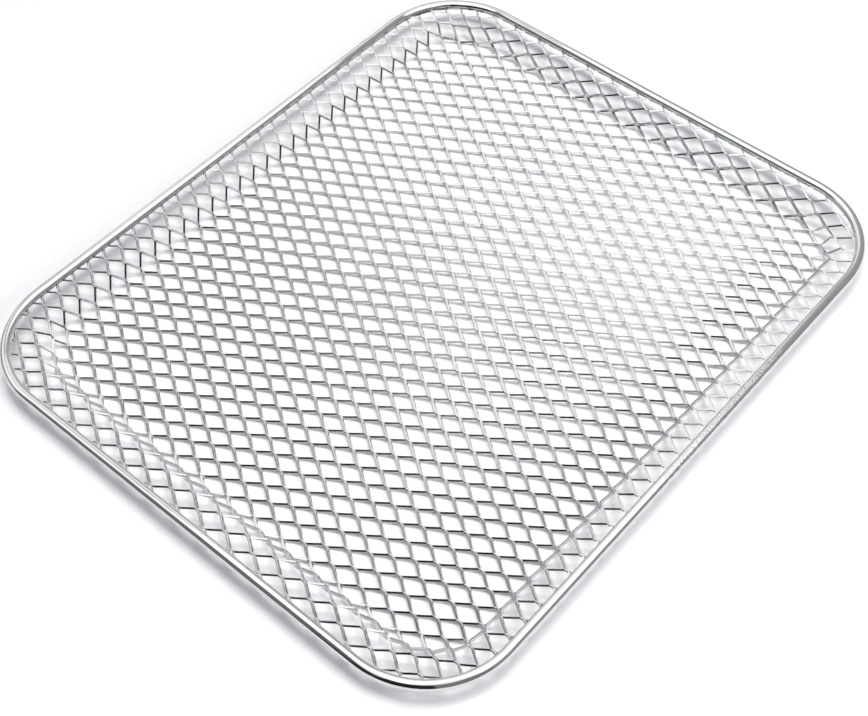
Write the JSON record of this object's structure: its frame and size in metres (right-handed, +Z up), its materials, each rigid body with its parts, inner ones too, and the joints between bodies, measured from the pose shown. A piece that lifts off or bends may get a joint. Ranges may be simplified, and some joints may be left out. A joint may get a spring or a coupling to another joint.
{
  "type": "air fryer basket grill plate",
  "caption": "Shallow rectangular expanded-metal tray with rounded corners and a rolled round bead, which holds food above the base of an air fryer so that hot air passes through it.",
  "frame": {"origin": "centre of the tray, on the surface that the underside of its floor rests on", "axes": "+X across the short side, +Y along the long side, +Z up out of the open top"},
  "size_m": [0.254, 0.3, 0.0107],
  "materials": {
    "expanded_mesh": "bright electropolished expanded steel",
    "rolled_bead": "bright polished rolled steel strip"
  },
  "bodies": {
    "root": {"mesh_tray": "expanded_mesh", "rim_bead": "rolled_bead"}
  },
  "joints": []
}
